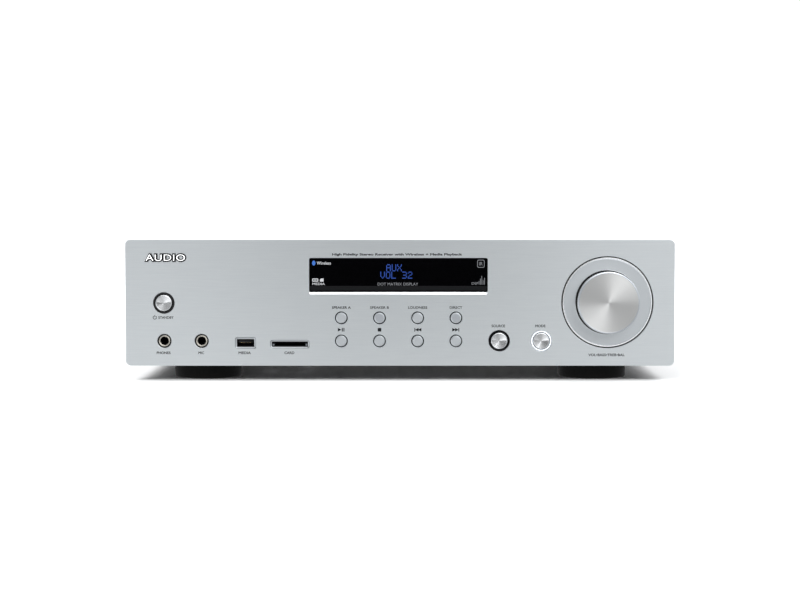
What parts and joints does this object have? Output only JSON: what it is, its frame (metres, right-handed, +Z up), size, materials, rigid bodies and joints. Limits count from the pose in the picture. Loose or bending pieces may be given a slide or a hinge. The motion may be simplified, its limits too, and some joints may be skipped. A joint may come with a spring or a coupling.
{
  "type": "stereo receiver",
  "caption": "Low, wide hi-fi receiver: aluminium fascia with a turning volume knob, push buttons, front sockets and a display, on a steel case with rear terminals.",
  "frame": {"origin": "centre of the footprint, on the surface that the feet stand on", "axes": "+X to the right as seen from the front, -Y out of the fascia, +Z up"},
  "size_m": [0.42, 0.3, 0.1086],
  "materials": {
    "brushed_aluminium": "brushed along X, clear anodised",
    "spun_aluminium": "spun, with a polished chamfer",
    "ring_aluminium": "fine satin",
    "polished_metal": "polished",
    "window_black": "high gloss, smoked",
    "display_glass": "dark panel with blue dots",
    "moulded_black": "fine moulded texture",
    "ring_light": "translucent, lit white from behind",
    "nickel": "nickel plate",
    "painted_steel": "fine black powder coat",
    "plated_steel": "zinc plate",
    "foot_black": "satin",
    "board_green": "solder mask",
    "sink_black": "black anodised",
    "sleeve_dark": "shrink sleeve",
    "ribbon_grey": "ribbed flat lead",
    "lever_red": "moulded"
  },
  "bodies": {
    "case": {"front_panel": "brushed_aluminium", "front_frame": "moulded_black", "display_window": "window_black", "display_module": "display_glass", "badge": "polished_metal", "volume_ring": "ring_aluminium", "volume_encoder": "plated_steel", "control_board": "board_green", "standby_ring": "moulded_black", "source_ring": "moulded_black", "mode_ring": "ring_light", "phones_jack": "nickel", "mic_jack": "nickel", "media_port": "nickel", "card_slot": "moulded_black", "bottom_pan": "plated_steel", "top_cover": "painted_steel", "rear_panel": "painted_steel", "foot_front_left": "foot_black", "foot_front_right": "foot_black", "foot_rear_left": "foot_black", "foot_rear_right": "foot_black", "cover_screw_left_front": "plated_steel", "cover_screw_left_rear": "plated_steel", "cover_screw_right_front": "plated_steel", "cover_screw_right_rear": "plated_steel", "transformer": "plated_steel", "main_board": "board_green", "heat_sink": "sink_black", "output_transistor_left": "moulded_black", "output_transistor_right": "moulded_black", "filter_capacitor_front": "sleeve_dark", "filter_capacitor_rear": "sleeve_dark", "ribbon_cable": "ribbon_grey", "speaker_terminals": "moulded_black", "line_sockets": "nickel", "mains_inlet": "moulded_black", "power_switch": "moulded_black"},
    "volume_control": {"volume_knob": "spun_aluminium", "volume_shaft": "plated_steel"},
    "speaker_a_key": {"speaker_a_button": "spun_aluminium"},
    "speaker_b_key": {"speaker_b_button": "spun_aluminium"},
    "loudness_key": {"loudness_button": "spun_aluminium"},
    "direct_key": {"direct_button": "spun_aluminium"},
    "play_key": {"play_button": "spun_aluminium"},
    "stop_key": {"stop_button": "spun_aluminium"},
    "previous_key": {"previous_button": "spun_aluminium"},
    "next_key": {"next_button": "spun_aluminium"},
    "standby_key": {"standby_button": "spun_aluminium"},
    "source_key": {"source_button": "spun_aluminium"},
    "mode_key": {"mode_button": "spun_aluminium"},
    "rocker": {"power_rocker": "moulded_black"},
    "clamp_a1": {"speaker_a_lever_1": "lever_red"},
    "clamp_a2": {"speaker_a_lever_2": "moulded_black"},
    "clamp_a3": {"speaker_a_lever_3": "lever_red"},
    "clamp_a4": {"speaker_a_lever_4": "moulded_black"},
    "clamp_b1": {"speaker_b_lever_1": "lever_red"},
    "clamp_b2": {"speaker_b_lever_2": "moulded_black"},
    "clamp_b3": {"speaker_b_lever_3": "lever_red"},
    "clamp_b4": {"speaker_b_lever_4": "moulded_black"}
  },
  "joints": [
    {"name": "volume_turn", "type": "hinge", "parent": "case", "child": "volume_control", "pos_m": [0.1586, -0.14, 0.0607], "axis": [0, 1, 0], "continuous": true},
    {"name": "speaker_a_press", "type": "slide", "parent": "case", "child": "speaker_a_key", "axis": [0, 1, 0], "range_m": [0, 0.0008], "stiffness_N_per_m": 400, "springref_m": -0.0005},
    {"name": "speaker_b_press", "type": "slide", "parent": "case", "child": "speaker_b_key", "axis": [0, 1, 0], "range_m": [0, 0.0008], "stiffness_N_per_m": 400, "springref_m": -0.0005},
    {"name": "loudness_press", "type": "slide", "parent": "case", "child": "loudness_key", "axis": [0, 1, 0], "range_m": [0, 0.0008], "stiffness_N_per_m": 400, "springref_m": -0.0005},
    {"name": "direct_press", "type": "slide", "parent": "case", "child": "direct_key", "axis": [0, 1, 0], "range_m": [0, 0.0008], "stiffness_N_per_m": 400, "springref_m": -0.0005},
    {"name": "play_press", "type": "slide", "parent": "case", "child": "play_key", "axis": [0, 1, 0], "range_m": [0, 0.0008], "stiffness_N_per_m": 400, "springref_m": -0.0005},
    {"name": "stop_press", "type": "slide", "parent": "case", "child": "stop_key", "axis": [0, 1, 0], "range_m": [0, 0.0008], "stiffness_N_per_m": 400, "springref_m": -0.0005},
    {"name": "previous_press", "type": "slide", "parent": "case", "child": "previous_key", "axis": [0, 1, 0], "range_m": [0, 0.0008], "stiffness_N_per_m": 400, "springref_m": -0.0005},
    {"name": "next_press", "type": "slide", "parent": "case", "child": "next_key", "axis": [0, 1, 0], "range_m": [0, 0.0008], "stiffness_N_per_m": 400, "springref_m": -0.0005},
    {"name": "standby_press", "type": "slide", "parent": "case", "child": "standby_key", "axis": [0, 1, 0], "range_m": [0, 0.0008], "stiffness_N_per_m": 400, "springref_m": -0.0005},
    {"name": "source_press", "type": "slide", "parent": "case", "child": "source_key", "axis": [0, 1, 0], "range_m": [0, 0.0008], "stiffness_N_per_m": 400, "springref_m": -0.0005},
    {"name": "mode_press", "type": "slide", "parent": "case", "child": "mode_key", "axis": [0, 1, 0], "range_m": [0, 0.0008], "stiffness_N_per_m": 400, "springref_m": -0.0005},
    {"name": "power_rock", "type": "hinge", "parent": "case", "child": "rocker", "pos_m": [-0.118, 0.1396, 0.044], "axis": [1, 0, 0], "range_deg": [0, 20]},
    {"name": "clamp_a1_press", "type": "hinge", "parent": "case", "child": "clamp_a1", "pos_m": [-0.0125, 0.132, 0.072], "axis": [-1, 0, 0], "range_deg": [0, 20], "stiffness_Nm_per_rad": 0.02, "springref_deg": -20.05},
    {"name": "clamp_a2_press", "type": "hinge", "parent": "case", "child": "clamp_a2", "pos_m": [0.0025, 0.132, 0.072], "axis": [-1, 0, 0], "range_deg": [0, 20], "stiffness_Nm_per_rad": 0.02, "springref_deg": -20.05},
    {"name": "clamp_a3_press", "type": "hinge", "parent": "case", "child": "clamp_a3", "pos_m": [0.0175, 0.132, 0.072], "axis": [-1, 0, 0], "range_deg": [0, 20], "stiffness_Nm_per_rad": 0.02, "springref_deg": -20.05},
    {"name": "clamp_a4_press", "type": "hinge", "parent": "case", "child": "clamp_a4", "pos_m": [0.0325, 0.132, 0.072], "axis": [-1, 0, 0], "range_deg": [0, 20], "stiffness_Nm_per_rad": 0.02, "springref_deg": -20.05},
    {"name": "clamp_b1_press", "type": "hinge", "parent": "case", "child": "clamp_b1", "pos_m": [-0.0125, 0.132, 0.05], "axis": [-1, 0, 0], "range_deg": [0, 20], "stiffness_Nm_per_rad": 0.02, "springref_deg": -20.05},
    {"name": "clamp_b2_press", "type": "hinge", "parent": "case", "child": "clamp_b2", "pos_m": [0.0025, 0.132, 0.05], "axis": [-1, 0, 0], "range_deg": [0, 20], "stiffness_Nm_per_rad": 0.02, "springref_deg": -20.05},
    {"name": "clamp_b3_press", "type": "hinge", "parent": "case", "child": "clamp_b3", "pos_m": [0.0175, 0.132, 0.05], "axis": [-1, 0, 0], "range_deg": [0, 20], "stiffness_Nm_per_rad": 0.02, "springref_deg": -20.05},
    {"name": "clamp_b4_press", "type": "hinge", "parent": "case", "child": "clamp_b4", "pos_m": [0.0325, 0.132, 0.05], "axis": [-1, 0, 0], "range_deg": [0, 20], "stiffness_Nm_per_rad": 0.02, "springref_deg": -20.05}
  ]
}
